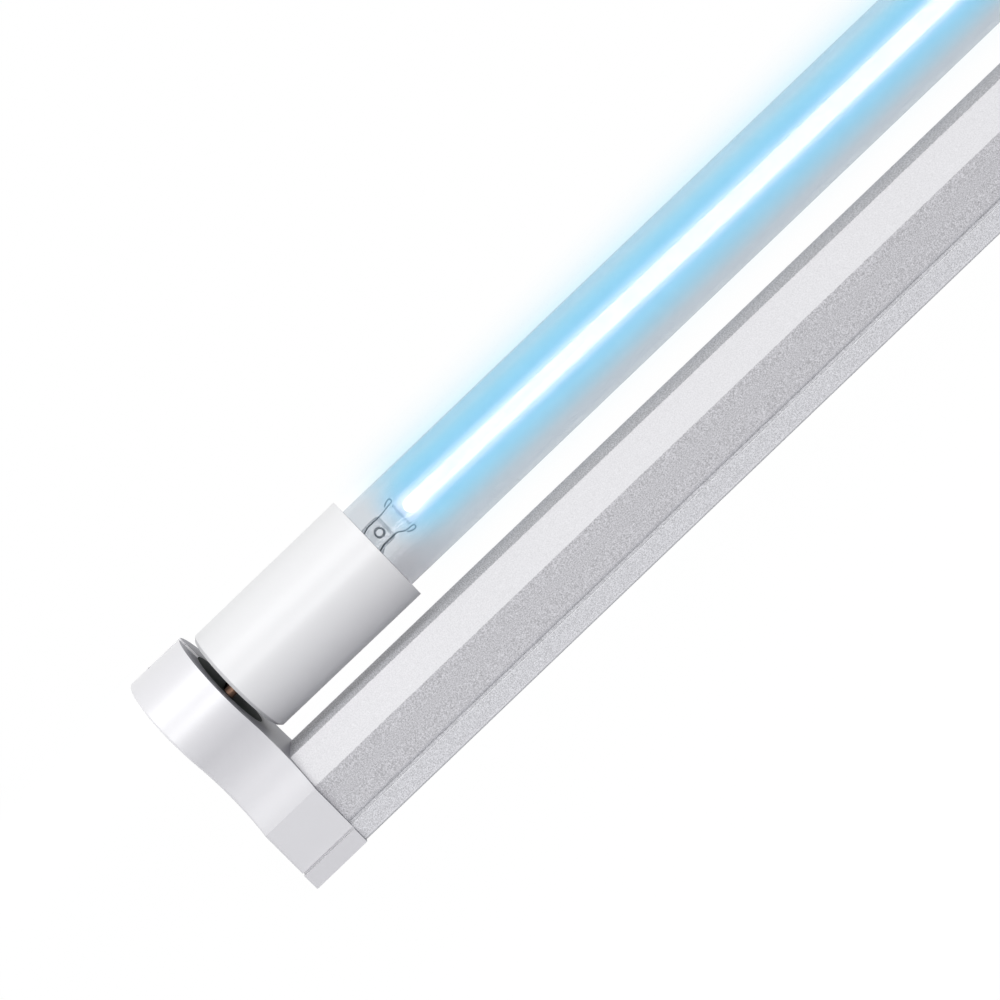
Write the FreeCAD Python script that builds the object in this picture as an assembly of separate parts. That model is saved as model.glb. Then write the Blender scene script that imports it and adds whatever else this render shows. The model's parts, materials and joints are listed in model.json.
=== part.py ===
"""Wall batten with a clear germicidal lamp in turning bi-pin holders, in millimetres.

X runs along the lamp, Z points away from the wall face, and the origin is the centre of the base.
Everything at an end is modelled for the right one, at +X, and mirrored for the left one.
"""

import FreeCAD, Part
import math
import os

V = FreeCAD.Vector
ORIGIN = V(0, 0, 0)
ALONG = V(1, 0, 0)
ACROSS = V(0, 1, 0)
UP = V(0, 0, 1)

# Lamp: envelope, end ferrules and contact pins
lamp_length = 436.0
tube_diameter = 20.0
tube_wall = 1.0
tube_setback = 6.0
ferrule_wall = 2.6
ferrule_length = 39.0
ferrule_floor = 2.5
ferrule_fit = 0.15
ferrule_chamfer = 0.7
ferrule_draft = 0.1
pin_diameter = 2.35
pin_spacing = 12.7
pin_reach = 7.1
pin_tail = 0.8
pin_tip_radius = 0.5
pin_fit = 0.02

# Glass mount with its lead wires and filament, at each end of the lamp
flare_length = 9.0
stem_diameter = 8.6
stem_wall = 0.8
flare_fit = 0.03
press_reach = 4.6
press_length = 3.2
press_thickness = 3.0
press_blend = 6.0
press_lift = 2.0
press_margin = 0.5
press_tip_length = 0.8
press_tip_height = 0.86
press_tip_thickness = 0.45
vent_diameter = 1.9
vent_setback = 2.1
lead_diameter = 0.3
lead_spacing = 4.7
lead_fit = 0.02
lead_straight = 2.0
lead_past_press = 0.5
lead_bend = 2.0
eye_lift = 1.65
eye_spacing = 6.6
eye_reach = 8.7
eye_length = 2.4
eye_width = 0.9
eye_tilt = 12.0
eye_neck = 0.7
eye_gap = 0.06
filament_diameter = 0.7
filament_setback = 0.55

# Fixture: the folded sheet channel and the lamp's clearance from it
end_gap = 2.0
lamp_clearance = 4.5
sheet = 0.6
bend_radius = 0.2
channel_height = 21.4
top_half_width = 9.5
bevel_drop = 7.0
shoulder_half_width = 14.0
skirt_height = 5.2
skirt_half_width = 15.8
tray_half_width = 16.2
tray_wall_height = 4.3
tuck_depth = 2.9
tuck_gap = 0.2

# Moulded end caps
cap_depth = 13.5
cap_wall = 1.6
cap_end_wall = 1.8
cap_overhang = 2.2
cap_base_half_width = 17.2
cap_lip = 0.4
cap_lip_height = 3.6
cap_groove = 0.45
cap_edge_radius = 0.5
head_margin = 1.65
waist_radius = 16.4

# Turning holder inside each end cap
plate_thickness = 2.0
plate_fit = 0.1
rotor_radius = 9.0
rotor_fit = 0.08
rotor_flange_radius = 10.2
rotor_flange = 0.9
rotor_slot_width = 2.8
rotor_slot_end = 7.9
entry_slot_width = 3.0
entry_slot_depth = 8.5
contact_sheet = 0.35
contact_width = 2.5
contact_offset = 0.3
contact_pin_gap = 0.08
contact_leg = 8.6
contact_foot_drop = 15.9
contact_knee_drop = 7.5
contact_tip_rise = 4.6
contact_tip_spread = 1.6
contact_bend = 0.8
rib_width = 0.9

# How the end caps, the cover and the wiring meet the channel
tab_half_width = 8.0
tab_gap = 2.4
tab_edge = 4.6
cap_screw_diameter = 2.9
cap_screw_past_tab = 2.4
screw_head_diameter = 5.4
screw_head_height = 1.8
screw_socket_diameter = 2.0
screw_socket_depth = 1.0
screw_play = 0.15
boss_wall = 1.7
counterbore_depth = 5.0
lug_half_width = 6.0
lug_length = 6.0
lug_height = 1.8
lug_gap = 0.2
passage_half_width = 6.0
passage_height = 3.6
crimp_length = 2.0

# Base tray openings, set back from its ends
mount_setback = 70.0
mount_slot_width = 4.5
mount_slot_length = 9.0
bush_setback = 35.0
bush_bore = 7.0
bush_neck = 9.8
bush_flange_diameter = 13.0
bush_flange = 2.4
bush_fit = 0.1

# Ballast
ballast_setback = 170.0
ballast_length = 150.0
ballast_side_gap = 2.0
ballast_rise = 0.2
ballast_wall = 1.2
ballast_ear = 8.0
ballast_ear_thickness = 1.6
ballast_window_half_width = 7.0
board_thickness = 1.6
board_clearance = 1.5
board_margin = 0.6
choke_length = 18.0
choke_width = 14.0
choke_leg = 3.0
choke_winding_gap = 0.15
capacitor_length = 16.0
film_length = 12.0
film_width = 6.0
transistor_width = 7.0
transistor_thickness = 3.4
component_gap = 0.4
choke_rim = 2.1
groove_width = 0.8
groove_depth = 0.4
post_radius = 1.5
lid_gap = 0.5
connector_length = 7.0
connector_headroom = 2.0
fixing_screw_diameter = 2.8

# Mains terminals, earth stud and internal wiring
terminal_setback = 95.0
terminal_length = 20.0
terminal_width = 17.0
terminal_height = 10.0
terminal_pitch = 5.5
terminal_screw_diameter = 3.2
terminal_screw_depth = 3.5
terminal_screw_length = 2.0
terminal_hole_diameter = 2.2
earth_setback = 128.0
earth_ring_diameter = 7.0
earth_ring_thickness = 0.6
earth_tongue = 6.3
earth_tongue_width = 2.0
wire_diameter = 1.2
wire_bend = 4.0
wire_lift = 0.05
wire_side_gap = 2.8

# Places that follow from the sizes above
ferrule_diameter = tube_diameter + 2 * ferrule_wall
head_radius = ferrule_diameter / 2 + head_margin
axis_height = channel_height + lamp_clearance + ferrule_diameter / 2
shoulder_height = channel_height - bevel_drop
face_x = lamp_length / 2 + end_gap
cap_face_x = lamp_length / 2
mouth_x = cap_face_x - ferrule_length
tube_end_x = cap_face_x - tube_setback
tube_radius = tube_diameter / 2
tube_bore = tube_radius - tube_wall
stem_radius = stem_diameter / 2
press_tip_x = mouth_x - press_reach
pin_offset = pin_spacing / 2
plate_back_x = face_x + plate_thickness
rotor_back_x = plate_back_x + rotor_fit + rotor_flange
contact_x = rotor_back_x + contact_offset
floor_z = sheet
lug_top = channel_height - sheet - lug_gap
passage_top = lug_top - lug_height - lug_gap
tab_height = passage_top - passage_height - tab_gap
cap_screw_height = tab_height - tab_edge
mount_x = face_x - mount_setback
bush_place = face_x - bush_setback
terminal_place = face_x - terminal_setback
earth_place = face_x - earth_setback
ballast_high = face_x - ballast_setback
ballast_low = ballast_high - ballast_length
ballast_half_width = shoulder_half_width - ballast_side_gap
ballast_top = shoulder_height + ballast_rise
board_top = floor_z + ballast_wall + board_clearance + board_thickness
component_height = ballast_top - ballast_wall - lid_gap - board_top
component_lane = ballast_half_width - ballast_wall - component_gap - transistor_width / 2
connector_height = component_height - connector_headroom
wire_lane = shoulder_half_width - wire_side_gap
axis_point = V(0, 0, axis_height)

os.makedirs("parts", exist_ok=True)


def save(name, shape):
    """Write one node."""
    shape.exportStep(f"parts/{name}.step")


def save_both(name, right_shape):
    """Write the right-hand piece and its mirror image at the left end."""
    save("right_" + name, right_shape)
    save("left_" + name, right_shape.mirror(ORIGIN, ALONG))


def section_point(y, z):
    return V(0, y, z)


def block(x0, x1, y0, y1, z0, z1):
    return Part.makeBox(x1 - x0, y1 - y0, z1 - z0, V(x0, y0, z0))


def rod_x(x0, x1, y, z, radius):
    return Part.makeCylinder(radius, x1 - x0, V(x0, y, z), ALONG)


def rod_z(x, y, z0, z1, radius):
    return Part.makeCylinder(radius, z1 - z0, V(x, y, z0), UP)


def prism(outline, x0, x1):
    """A section in the YZ plane, run from x0 to x1."""
    placed = Part.Face(outline)
    placed.translate(V(x0, 0, 0))
    return placed.extrude(V(x1 - x0, 0, 0))


def fuse_all(shapes):
    return shapes[0].multiFuse(shapes[1:]).removeSplitter()


def rounded_edges(points, radii):
    """Edges of an open path through points, with an arc of the given radius at each inner one."""
    edges = []
    here = points[0]
    for before, corner, after, radius in zip(points, points[1:], points[2:], radii):
        into = (corner - before).normalize()
        out = (after - corner).normalize()
        half_turn = into.getAngle(out) / 2
        reach = radius * math.tan(half_turn)
        start = corner - into * reach
        end = corner + out * reach
        middle = corner + (out - into).normalize() * (radius / math.cos(half_turn) - radius)
        edges.append(Part.LineSegment(here, start).toShape())
        edges.append(Part.Arc(start, middle, end).toShape())
        here = end
    edges.append(Part.LineSegment(here, points[-1]).toShape())
    return edges


def ribbon(points, thickness, bend):
    """Closed section of folded sheet: points run along one face, the other lies to their left."""
    directions = [(b - a).normalize() for a, b in zip(points, points[1:])]
    normals = [ALONG.cross(d) for d in directions]
    other = [points[0] + normals[0] * thickness]
    near_radii = []
    far_radii = []
    for i, corner in enumerate(points[1:-1]):
        first, second = normals[i], normals[i + 1]
        other.append(corner + (first + second) * (thickness / (1 + first.dot(second))))
        turns_left = directions[i].cross(directions[i + 1]).dot(ALONG) > 0
        near_radii.append(bend + thickness if turns_left else bend)
        far_radii.append(bend if turns_left else bend + thickness)
    other.append(points[-1] + normals[-1] * thickness)
    near = rounded_edges(points, near_radii)
    far = rounded_edges(other, far_radii)
    ends = [
        Part.LineSegment(points[0], other[0]).toShape(),
        Part.LineSegment(points[-1], other[-1]).toShape(),
    ]
    return Part.Wire(Part.__sortEdges__(near + far + ends))


def wire_tube(points, diameter, bend):
    """A round wire along points, with tangent arcs at the corners."""
    path = Part.Wire(rounded_edges(points, [bend] * (len(points) - 2)))
    start = (points[1] - points[0]).normalize()
    ring = Part.Wire(Part.makeCircle(diameter / 2, points[0], start))
    return Part.Solid(path.makePipeShell([ring], True, False))


def turned(profile):
    """Revolve a closed profile of (x, radius) points about the lamp's axis."""
    corners = [V(x, 0, axis_height + radius) for x, radius in profile]
    face = Part.Face(Part.makePolygon(corners + corners[:1]))
    return face.revolve(axis_point, ALONG, 360)


def circles_meet(centre_a, radius_a, centre_b, radius_b):
    """The crossing of two circles in a section that lies further out along Y."""
    gap = centre_b - centre_a
    along = (radius_a**2 - radius_b**2 + gap.Length**2) / (2 * gap.Length)
    offset = math.sqrt(radius_a**2 - along**2)
    direction = gap.normalize()
    points = [centre_a + direction * along + ALONG.cross(direction) * (side * offset) for side in (1, -1)]
    return max(points, key=lambda p: p.y)


def cap_outline(inset):
    """End cap section moved in by inset: a round head, a concave waist and splayed sides."""
    head = section_point(0, axis_height)
    corner = section_point(shoulder_half_width + cap_overhang, shoulder_height)
    down = (section_point(cap_base_half_width, 0) - corner).normalize()
    side = corner - ALONG.cross(down) * inset
    waist = circles_meet(head, head_radius + waist_radius, corner, waist_radius)
    radius = waist_radius + inset

    on_head = head + (waist - head) * ((head_radius - inset) / (head_radius + waist_radius))
    ahead = (side - waist).dot(down)
    reach = math.sqrt(ahead**2 - (side - waist).Length ** 2 + radius**2) - ahead
    on_side = side + down * reach
    foot = on_side + down * ((on_side.z - inset) / -down.z)
    middle = waist + ((on_head - waist) + (on_side - waist)).normalize() * radius
    crown = section_point(0, axis_height + head_radius - inset)

    def flip(p):
        return section_point(-p.y, p.z)

    edges = [
        Part.LineSegment(foot, on_side),
        Part.Arc(on_side, middle, on_head),
        Part.Arc(on_head, crown, flip(on_head)),
        Part.Arc(flip(on_head), flip(middle), flip(on_side)),
        Part.LineSegment(flip(on_side), flip(foot)),
        Part.LineSegment(flip(foot), foot),
    ]
    return Part.Wire([edge.toShape() for edge in edges])


def cover():
    """Folded sheet cover: flat top, bevels, splayed sides and joggled edges inside the tray."""
    tuck = tray_half_width - sheet - tuck_gap
    right = [
        section_point(tuck, skirt_height - sheet - tuck_depth),
        section_point(tuck, skirt_height - sheet / 2),
        section_point(skirt_half_width, skirt_height),
        section_point(shoulder_half_width, shoulder_height),
        section_point(top_half_width, channel_height),
    ]
    left = [section_point(-p.y, p.z) for p in reversed(right)]
    return prism(ribbon(right + left, sheet, bend_radius), -face_x, face_x)


def base_tray():
    """Folded sheet tray with wall slots, cable hole, tapped holes and an upright tab at each end."""
    points = [
        section_point(-tray_half_width, tray_wall_height),
        section_point(-tray_half_width, 0),
        section_point(tray_half_width, 0),
        section_point(tray_half_width, tray_wall_height),
    ]
    tray = prism(ribbon(points, sheet, bend_radius), -face_x, face_x)
    tab = block(face_x - sheet, face_x, -tab_half_width, tab_half_width, 0, tab_height)
    tray = fuse_all([tray, tab, tab.mirror(ORIGIN, ALONG)])

    cuts = [rod_z(bush_place, 0, -1, floor_z + 1, bush_neck / 2 + bush_fit)]
    tapped = fixing_screw_diameter / 2 + pin_fit
    cuts += [rod_z(x, 0, -1, floor_z + 1, tapped) for x in (*ballast_screw_places(), earth_place)]
    tab_tap = cap_screw_diameter / 2 + pin_fit
    cuts.append(rod_x(-face_x - 1, face_x + 1, 0, cap_screw_height, tab_tap))
    half = mount_slot_width / 2
    straight = mount_slot_length / 2 - half
    for x in (-mount_x, mount_x):
        cuts.append(block(x - straight, x + straight, -half, half, -1, floor_z + 1))
        cuts.append(rod_z(x - straight, 0, -1, floor_z + 1, half))
        cuts.append(rod_z(x + straight, 0, -1, floor_z + 1, half))
    return tray.cut(Part.makeCompound(cuts))


def end_cap():
    """Moulded shell with a shadow line above its foot, a pin entry at the crown and a screw boss."""
    back_x = face_x + cap_depth
    solid = prism(cap_outline(0), face_x, back_x)
    rim = [e for e in solid.Edges if e.BoundBox.XMin > back_x - 0.01 and e.BoundBox.ZMax > 0.01]
    solid = solid.makeFillet(cap_edge_radius, rim)
    lip_y = cap_base_half_width + cap_lip
    band = block(face_x, back_x, -lip_y, lip_y, 0, cap_lip_height)
    corners = [e for e in band.Edges if e.BoundBox.XMin > back_x - 0.01 and e.BoundBox.YLength < 0.01]
    band = band.makeFillet(cap_edge_radius, corners)
    pocket = prism(cap_outline(cap_wall), face_x, back_x - cap_end_wall)
    line_top = cap_lip_height + cap_groove
    line = block(face_x - 1, back_x + 1, -lip_y, lip_y, cap_lip_height, line_top)
    line = line.cut(prism(cap_outline(cap_groove), face_x - 1, back_x - cap_groove))
    shell = fuse_all([solid, band]).cut(Part.makeCompound([pocket, line]))

    boss_radius = screw_head_diameter / 2 + screw_play + boss_wall
    boss = rod_x(plate_back_x, back_x - cap_end_wall, 0, cap_screw_height, boss_radius)
    floor_under_boss = block(
        plate_back_x, back_x - cap_end_wall, -boss_wall, boss_wall, cap_wall, cap_screw_height
    )
    shell = fuse_all([shell, boss.common(pocket), floor_under_boss])
    half_slot = entry_slot_width / 2
    crown = axis_height + head_radius
    shell = shell.cut(
        block(face_x, face_x + entry_slot_depth, -half_slot, half_slot, axis_height, crown + 1)
    )
    shell = shell.cut(
        rod_x(face_x, back_x, 0, cap_screw_height, cap_screw_diameter / 2 + screw_play)
    )
    return shell.cut(
        rod_x(
            back_x - counterbore_depth,
            back_x,
            0,
            cap_screw_height,
            screw_head_diameter / 2 + screw_play,
        )
    )


def socket_plate():
    """Plate that closes the shell: rotor bore, pin entry, wire passage, contact ribs and cover lug."""
    plate = prism(cap_outline(cap_wall + plate_fit), face_x, plate_back_x)
    lug = block(
        face_x - lug_length, face_x, -lug_half_width, lug_half_width, lug_top - lug_height, lug_top
    )
    parts = [plate, lug]
    for side in (-1, 1):
        inner = contact_leg + contact_sheet / 2
        y0, y1 = sorted((side * inner, side * (inner + rib_width)))
        parts.append(
            block(
                plate_back_x,
                contact_x + contact_width,
                y0,
                y1,
                axis_height - contact_foot_drop,
                axis_height - contact_knee_drop,
            )
        )
    plate = fuse_all(parts)
    half_slot = entry_slot_width / 2
    cuts = [
        rod_x(face_x - 1, plate_back_x, 0, axis_height, rotor_radius + rotor_fit),
        block(
            face_x - 1,
            plate_back_x + 1,
            -half_slot,
            half_slot,
            axis_height,
            axis_height + head_radius,
        ),
        block(
            face_x - 1,
            plate_back_x + 1,
            -passage_half_width,
            passage_half_width,
            passage_top - passage_height,
            passage_top,
        ),
        rod_x(
            face_x - 1, plate_back_x + 1, 0, cap_screw_height, cap_screw_diameter / 2 + screw_play
        ),
    ]
    return plate.cut(Part.makeCompound(cuts))


def rotor():
    """Turning disc with a slot for both pins, open towards +Y while the lamp is locked."""
    disc = rod_x(face_x, plate_back_x + rotor_fit, 0, axis_height, rotor_radius)
    flange = rod_x(plate_back_x + rotor_fit, rotor_back_x, 0, axis_height, rotor_flange_radius)
    half_slot = rotor_slot_width / 2
    slot = block(
        face_x - 1,
        rotor_back_x + 1,
        -rotor_slot_end + half_slot,
        rotor_flange_radius + 1,
        axis_height - half_slot,
        axis_height + half_slot,
    )
    round_end = rod_x(
        face_x - 1, rotor_back_x + 1, -rotor_slot_end + half_slot, axis_height, half_slot
    )
    return fuse_all([disc, flange]).cut(Part.makeCompound([slot, round_end]))


def contact(side):
    """Bronze leaf beside one pin: a leg on its rib, a knee at the pin and a flared tip."""
    touch = pin_offset + pin_diameter / 2 + contact_pin_gap
    points = [
        section_point(contact_leg, axis_height - contact_foot_drop),
        section_point(contact_leg, axis_height - contact_knee_drop),
        section_point(touch + contact_sheet / 2, axis_height),
        section_point(touch + contact_sheet / 2 + contact_tip_spread, axis_height + contact_tip_rise),
    ]
    shifted = [section_point(p.y + contact_sheet / 2, p.z) for p in points]
    leaf = prism(ribbon(shifted, contact_sheet, contact_bend), contact_x, contact_x + contact_width)
    return leaf if side > 0 else leaf.mirror(ORIGIN, ACROSS)


def pan_screw_x(seat_x, tip_x, z, diameter):
    """Pan-head screw along X with its head outside seat_x and a round driving socket."""
    shank = rod_x(tip_x, seat_x, 0, z, diameter / 2)
    head = rod_x(seat_x, seat_x + screw_head_height, 0, z, screw_head_diameter / 2)
    top_edge = [e for e in head.Edges if e.BoundBox.XMin > seat_x + screw_head_height - 0.01]
    head = head.makeFillet(screw_head_height / 3, top_edge)
    socket = rod_x(
        seat_x + screw_head_height - screw_socket_depth,
        seat_x + screw_head_height,
        0,
        z,
        screw_socket_diameter / 2,
    )
    return fuse_all([shank, head]).cut(socket)


def pan_screw_z(x, seat_z, tip_z, diameter):
    """Pan-head screw driven down through the tray."""
    screw = pan_screw_x(seat_z, tip_z, 0, diameter)
    screw.rotate(ORIGIN, ACROSS, -90)
    screw.translate(V(x, 0, 0))
    return screw


def cap_screw():
    seat = face_x + cap_depth - counterbore_depth
    tip = face_x - sheet - cap_screw_past_tab
    return pan_screw_x(seat, tip, cap_screw_height, cap_screw_diameter)


def quartz_tube():
    return rod_x(-tube_end_x, tube_end_x, 0, axis_height, tube_radius).cut(
        rod_x(-tube_end_x - 1, tube_end_x + 1, 0, axis_height, tube_bore)
    )


def ferrule():
    """White end sleeve: a drafted cup with a chamfered outer edge and two pin holes in its floor."""
    wide = ferrule_diameter / 2
    body = Part.makeCone(wide, wide - ferrule_draft, ferrule_length, V(mouth_x, 0, axis_height), ALONG)
    outer_edge = [e for e in body.Edges if e.BoundBox.XMin > cap_face_x - 0.01]
    body = body.makeChamfer(ferrule_chamfer, outer_edge)
    bore = rod_x(
        mouth_x - 1, cap_face_x - ferrule_floor, 0, axis_height, tube_radius + ferrule_fit
    )
    holes = [
        rod_x(cap_face_x - ferrule_floor - 1, cap_face_x + 1, y, axis_height, pin_diameter / 2 + pin_fit)
        for y in (-pin_offset, pin_offset)
    ]
    return body.cut(Part.makeCompound([bore, *holes]))


def pin(side):
    """One brass pin, from its tail inside the ferrule to its rounded tip."""
    start = cap_face_x - ferrule_floor - pin_tail
    tip = cap_face_x + pin_reach
    body = rod_x(start, tip, side * pin_offset, axis_height, pin_diameter / 2)
    tip_edge = [e for e in body.Edges if e.BoundBox.XMin > tip - 0.01]
    return body.makeFillet(pin_tip_radius, tip_edge)


def press_section(x, half_height, half_thickness, lift):
    """Rounded cross-section of the flattened glass at x, as a closed smooth wire."""
    centre = V(x, 0, axis_height + lift)
    if half_height > half_thickness:
        outline = Part.Ellipse(centre + UP * half_height, centre + ACROSS * half_thickness, centre)
    else:
        outline = Part.Circle(centre, ALONG, half_height)
    return Part.Wire(outline.toShape())


def stem():
    """Glass mount: a flared tube sealed in the envelope's end, pressed flat round the lead wires."""
    outer = tube_bore - flare_fit
    neck_x = tube_end_x - flare_length
    press_x = press_tip_x + press_length
    blend_x = press_x + press_blend
    bore = stem_radius - stem_wall
    flare = turned(
        [
            (tube_end_x, outer - stem_wall),
            (tube_end_x, outer),
            (tube_end_x - stem_wall, outer),
            (neck_x, stem_radius),
            (blend_x, stem_radius),
            (blend_x, 0),
            (blend_x + stem_wall, 0),
            (blend_x + stem_wall, bore),
            (neck_x, bore),
        ]
    )
    height = lead_spacing / 2 + press_margin
    thickness = press_thickness / 2
    round_circle = press_section(blend_x, stem_radius, stem_radius, 0)
    flat = press_section(press_x, height, thickness, press_lift)
    shoulder = press_section(press_tip_x + press_tip_length, height, thickness, press_lift)
    tip = press_section(
        press_tip_x, height * press_tip_height, thickness * press_tip_thickness, press_lift
    )
    outlines = [round_circle, flat, shoulder, tip]
    pressed = [Part.makeLoft([a, b], True, True) for a, b in zip(outlines, outlines[1:])]
    glass = fuse_all([flare, *pressed])
    vent = Part.makeCylinder(
        vent_diameter / 2,
        press_thickness,
        V(press_tip_x + vent_setback, -thickness, axis_height + press_lift),
        ACROSS,
    )
    channels = [lead_route(side, lead_diameter + 2 * lead_fit) for side in (-1, 1)]
    return glass.cut(Part.makeCompound([vent, *channels]))


def eye_path(side):
    """Points of one lead wire's eye, from the straight wire round to the free end beside it."""
    centre_z = axis_height + eye_lift + side * eye_spacing / 2
    near_x = mouth_x - eye_reach + eye_length
    tilt = math.radians(side * eye_tilt)
    out = V(-math.cos(tilt), 0, math.sin(tilt))
    across = V(math.sin(tilt), 0, math.cos(tilt)) * side
    start = V(near_x, 0, centre_z) - across * (eye_width / 2)
    closed = lead_diameter + eye_gap
    return [
        start,
        start + out * eye_neck,
        start + out * eye_length - across * (eye_width / 4),
        start + out * eye_length + across * (eye_width * 3 / 4),
        start + out * (eye_neck * 1.6) + across * (eye_width * 3 / 4),
        start + out * (eye_neck / 2) + across * closed,
    ]


def lead_route(side, diameter):
    """A round section swept along one lead: pin tail, stem bore, press, then the eye."""
    tube_z = axis_height + side * lead_spacing / 2
    tail_x = cap_face_x - ferrule_floor - pin_tail
    neck_x = tube_end_x - flare_length
    blend_x = press_tip_x + press_length + press_blend
    pin_y = -side * pin_offset
    route = [
        V(tail_x, pin_y, axis_height),
        V(tail_x - lead_straight, pin_y, axis_height),
        V(neck_x, 0, tube_z),
        V(blend_x + stem_wall, 0, tube_z),
        V(press_tip_x + press_length, 0, tube_z + press_lift),
        V(press_tip_x - lead_past_press, 0, tube_z + press_lift),
    ]
    curl = eye_width * 0.45
    soft = eye_neck * 0.4
    bends = [1.2] + [lead_bend] * 3 + [soft, soft, soft, curl, curl, soft]
    path = Part.Wire(rounded_edges(route + eye_path(side), bends))
    ring = Part.Wire(Part.makeCircle(diameter / 2, route[0], V(-1, 0, 0)))
    return Part.Solid(path.makePipeShell([ring], True, False))


def lead_wire(side):
    """One lead wire; the upper one serves the front pin, the lower one the rear pin."""
    return lead_route(side, lead_diameter)


def filament():
    """Outer shape of the coiled filament, a rod between the two eyes."""
    x = mouth_x - eye_reach + filament_setback
    middle = axis_height + eye_lift
    reach = eye_spacing / 2 - eye_width / 2 - lead_diameter
    return rod_z(x, 0, middle - reach, middle + reach, filament_diameter / 2)


def cable_bush():
    """Snap-in bush in the tray's cable hole, flush with the wall face."""
    neck = rod_z(bush_place, 0, 0, floor_z, bush_neck / 2)
    flange = rod_z(bush_place, 0, floor_z, floor_z + bush_flange, bush_flange_diameter / 2)
    bore = rod_z(bush_place, 0, -1, floor_z + bush_flange + 1, bush_bore / 2)
    return fuse_all([neck, flange]).cut(bore)


def ballast_screw_places():
    return ballast_low - ballast_ear / 2, ballast_high + ballast_ear / 2


def ballast_case():
    """Open-topped box with a fixing ear and a wiring window at each end."""
    low, high, half = ballast_low, ballast_high, ballast_half_width
    top = ballast_top - ballast_wall
    ear_top = floor_z + ballast_ear_thickness
    box = block(low, high, -half, half, floor_z, top)
    hollow = block(
        low + ballast_wall,
        high - ballast_wall,
        -half + ballast_wall,
        half - ballast_wall,
        floor_z + ballast_wall,
        top + 1,
    )
    ears = block(low - ballast_ear, high + ballast_ear, -half / 2, half / 2, floor_z, ear_top)
    case = fuse_all([box, ears]).cut(hollow)
    window_half = ballast_window_half_width
    window = block(low - 1, high + 1, -window_half, window_half, board_top, top + 1).cut(hollow)
    hole = fixing_screw_diameter / 2 + screw_play
    holes = [rod_z(x, 0, 0, ear_top + 1, hole) for x in ballast_screw_places()]
    return case.cut(Part.makeCompound([window, *holes]))


def ballast_lid():
    half = ballast_half_width
    return block(ballast_low, ballast_high, -half, half, ballast_top - ballast_wall, ballast_top)


def ballast_board():
    """Circuit board on four corner posts that stand on the case's floor."""
    inset = ballast_wall + board_margin
    low, high = ballast_low + inset, ballast_high - inset
    half = ballast_half_width - inset
    under = floor_z + ballast_wall
    board = block(low, high, -half, half, under + board_clearance, board_top)
    posts = [
        rod_z(x, y, under, under + board_clearance, post_radius)
        for x in (low + 2 * post_radius, high - 2 * post_radius)
        for y in (-half + 2 * post_radius, half - 2 * post_radius)
    ]
    return fuse_all([board, *posts])


def choke_centre():
    return ballast_high - ballast_length * 2 / 3


def choke_core():
    """Ferrite frame with a square window on each side of its middle leg."""
    x0, x1 = choke_centre() - choke_length / 2, choke_centre() + choke_length / 2
    half = choke_width / 2
    z0, z1 = board_top, board_top + component_height
    core = block(x0, x1, -half, half, z0, z1)
    near, far = choke_leg / 2, half - choke_rim
    window = block(x0 + choke_leg, x1 - choke_leg, near, far, z0 - 1, z1 + 1)
    return core.cut(Part.makeCompound([window, window.mirror(ORIGIN, ACROSS)]))


def choke_winding():
    """Copper winding round the choke's middle leg."""
    gap = choke_winding_gap
    half = choke_width / 2 - choke_rim - gap
    reach = choke_length / 2 - choke_leg - gap
    x0, x1 = choke_centre() - reach, choke_centre() + reach
    z0, z1 = board_top + gap, board_top + component_height - gap
    leg = choke_leg / 2 + gap
    return block(x0, x1, -half, half, z0, z1).cut(block(x0 - 1, x1 + 1, -leg, leg, z0 - 1, z1 + 1))


def main_capacitor():
    """Electrolytic capacitor lying on the board, with a rolled groove near its sealed end."""
    radius = component_height / 2
    x0 = ballast_high - ballast_length * 3 / 8
    z = board_top + radius
    can = rod_x(x0, x0 + capacitor_length, 0, z, radius)
    groove_x = x0 + capacitor_length / 10
    band = rod_x(groove_x, groove_x + groove_width, 0, z, radius + 1)
    return can.cut(band.cut(rod_x(groove_x, groove_x + groove_width, 0, z, radius - groove_depth)))


def pair_on_board(x0, length, width):
    """Two equal blocks side by side on the board, one in each component lane."""
    z0, z1 = board_top, board_top + component_height
    near, far = component_lane - width / 2, component_lane + width / 2
    one = block(x0, x0 + length, near, far, z0, z1)
    return Part.makeCompound([one, one.mirror(ORIGIN, ACROSS)])


def film_capacitors():
    return pair_on_board(ballast_high - ballast_length * 0.86, film_length, film_width)


def transistors():
    return pair_on_board(ballast_high - ballast_length * 0.18, transistor_thickness, transistor_width)


def ballast_connectors():
    """One connector at each end of the board, flush with the ends of the case."""
    half = ballast_window_half_width - board_margin
    z0, z1 = board_top, board_top + connector_height
    left = block(ballast_low, ballast_low + connector_length, -half, half, z0, z1)
    right = block(ballast_high - connector_length, ballast_high, -half, half, z0, z1)
    return Part.makeCompound([left, right])


def terminal_xs():
    return terminal_place - terminal_length / 2, terminal_place + terminal_length / 2


def terminal_lanes():
    return (-terminal_pitch, 0, terminal_pitch)


def terminal_hole_height():
    return floor_z + terminal_height / 2 - 1


def terminal_block():
    """Three-way screw terminal block with a screw well and a wire hole through each way."""
    x0, x1 = terminal_xs()
    half = terminal_width / 2
    body = block(x0, x1, -half, half, floor_z, floor_z + terminal_height)
    cuts = []
    for y in terminal_lanes():
        cuts.append(rod_x(x0 - 1, x1 + 1, y, terminal_hole_height(), terminal_hole_diameter / 2))
        cuts.append(
            rod_z(
                terminal_place,
                y,
                floor_z + terminal_height - terminal_screw_depth,
                floor_z + terminal_height + 1,
                terminal_screw_diameter / 2 + screw_play,
            )
        )
    return body.cut(Part.makeCompound(cuts))


def terminal_screws():
    z0 = floor_z + terminal_height - terminal_screw_depth
    return Part.makeCompound(
        [
            rod_z(terminal_place, y, z0, z0 + terminal_screw_length, terminal_screw_diameter / 2)
            for y in terminal_lanes()
        ]
    )


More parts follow.
